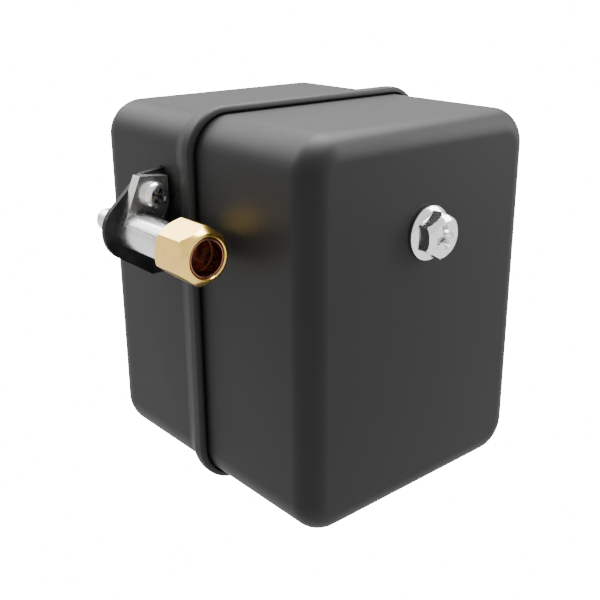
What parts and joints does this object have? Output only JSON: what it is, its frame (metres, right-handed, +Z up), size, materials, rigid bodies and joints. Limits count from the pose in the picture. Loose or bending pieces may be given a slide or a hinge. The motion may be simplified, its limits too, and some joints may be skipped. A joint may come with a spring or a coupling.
{
  "type": "pressure switch with unloader valve",
  "caption": "Air compressor pressure switch: black two-part case with a cover screw, side unloader valve with brass nut, and a pressure port underneath.",
  "frame": {"origin": "centre of the pressure port's mouth on the underside", "axes": "+Z up along the port's axis into the switch, -Y towards the cover's face and its screw, -X towards the unloader valve"},
  "size_m": [0.0945, 0.0926, 0.107],
  "materials": {
    "case": "black moulded, satin",
    "cover_screw": "bright plated",
    "zinc_steel": "zinc plated steel",
    "black_steel": "black oxide sheet steel",
    "die_cast": "bright die-casting",
    "brass": "turned brass",
    "copper": "copper",
    "nylon": "pale nylon",
    "rubber": "black rubber",
    "phenolic": "dark phenolic moulding",
    "carrier": "red-brown thermoset",
    "spring_steel": "spring wire",
    "silver": "silver contacts",
    "green": "green earth screw"
  },
  "bodies": {
    "housing": {"rear_housing": "case", "cable_grommets": "rubber", "cover_post": "zinc_steel", "post_nut": "zinc_steel", "port_flange": "die_cast", "diaphragm": "rubber", "flange_screws": "zinc_steel", "switch_frame": "zinc_steel", "frame_screws": "zinc_steel", "front_bracket": "zinc_steel", "bracket_screws": "zinc_steel", "ground_screw": "green", "lever_pin": "zinc_steel", "lever_pin_clip": "spring_steel", "lever_spacer": "brass", "range_stud": "zinc_steel", "range_spring": "spring_steel", "differential_stud": "zinc_steel", "differential_spring": "spring_steel", "contact_block": "phenolic", "block_screws": "zinc_steel", "terminal_strips": "brass", "terminal_screws": "brass", "fixed_contacts": "silver", "unloader_bracket": "black_steel", "unloader_bracket_screws": "zinc_steel", "valve_body": "die_cast", "valve_screw": "zinc_steel", "valve_collar": "nylon", "compression_sleeve": "copper", "unloader_pin": "zinc_steel"},
    "cover": {"cover": "case"},
    "cover_screw": {"cover_screw": "cover_screw"},
    "piston": {"piston_pad": "zinc_steel"},
    "main_lever": {"main_lever": "zinc_steel"},
    "range_seat": {"range_seat": "zinc_steel"},
    "range_nut": {"range_nut": "zinc_steel"},
    "differential_seat": {"differential_seat": "zinc_steel"},
    "differential_nut": {"differential_nut": "zinc_steel"},
    "contact_carrier": {"contact_carrier": "carrier", "contact_bridges": "brass", "contact_springs": "spring_steel", "moving_contacts": "silver"},
    "unloader_lever": {"unloader_lever": "zinc_steel"},
    "valve_plunger": {"valve_plunger": "zinc_steel", "valve_seal": "rubber", "valve_spring": "spring_steel"},
    "tube_nut": {"tube_nut": "brass"}
  },
  "joints": [
    {"name": "cover_lift_off", "type": "slide", "parent": "housing", "child": "cover", "axis": [0, -1, 0], "range_m": [0, 0.085]},
    {"name": "cover_screw_turn", "type": "hinge", "parent": "cover", "child": "cover_screw", "pos_m": [0, -0.06, 0.079], "axis": [0, -1, 0], "continuous": true},
    {"name": "lever_swing", "type": "hinge", "parent": "housing", "child": "main_lever", "pos_m": [0, 0.015, 0.03], "axis": [-1, 0, 0], "range_deg": [0, 2.2]},
    {"name": "piston_stroke", "type": "slide", "parent": "housing", "child": "piston", "axis": [0, 0, 1], "range_m": [0, 0.00057]},
    {"name": "contact_stroke", "type": "slide", "parent": "housing", "child": "contact_carrier", "axis": [0, 0, 1], "range_m": [0, 0.00195]},
    {"name": "unloader_swing", "type": "hinge", "parent": "housing", "child": "unloader_lever", "pos_m": [-0.0322, 0.00995, 0.077], "axis": [0, 0, 1], "range_deg": [0, 8.8]},
    {"name": "valve_stroke", "type": "slide", "parent": "housing", "child": "valve_plunger", "axis": [0, -1, 0], "range_m": [0, 0.00225]},
    {"name": "range_nut_turn", "type": "hinge", "parent": "range_seat", "child": "range_nut", "pos_m": [0.016, 0, 0.079], "axis": [0, 0, -1], "range_deg": [0, 2160]},
    {"name": "range_seat_slide", "type": "slide", "parent": "housing", "child": "range_seat", "axis": [0, 0, -1], "range_m": [0, 0.006], "deforming": ["range_spring"]},
    {"name": "differential_nut_turn", "type": "hinge", "parent": "differential_seat", "child": "differential_nut", "pos_m": [-0.012, 0, 0.063], "axis": [0, 0, -1], "range_deg": [0, 2160]},
    {"name": "differential_seat_slide", "type": "slide", "parent": "housing", "child": "differential_seat", "axis": [0, 0, -1], "range_m": [0, 0.0042], "deforming": ["differential_spring"]},
    {"name": "tube_nut_turn", "type": "hinge", "parent": "housing", "child": "tube_nut", "pos_m": [-0.047, -0.03, 0.077], "axis": [0, -1, 0], "continuous": true}
  ],
  "couplings": [
    {"joint": "piston_stroke", "follows": "lever_swing", "m_per_rad": 0.014843},
    {"joint": "contact_stroke", "follows": "lever_swing", "m_per_rad": 0.05078},
    {"joint": "unloader_swing", "follows": "lever_swing", "ratio": 3.9996},
    {"joint": "valve_stroke", "follows": "lever_swing", "m_per_rad": 0.058592},
    {"joint": "range_nut_turn", "follows": "range_seat_slide", "rad_per_m": 6282.6},
    {"joint": "differential_nut_turn", "follows": "differential_seat_slide", "rad_per_m": 8975.1}
  ]
}
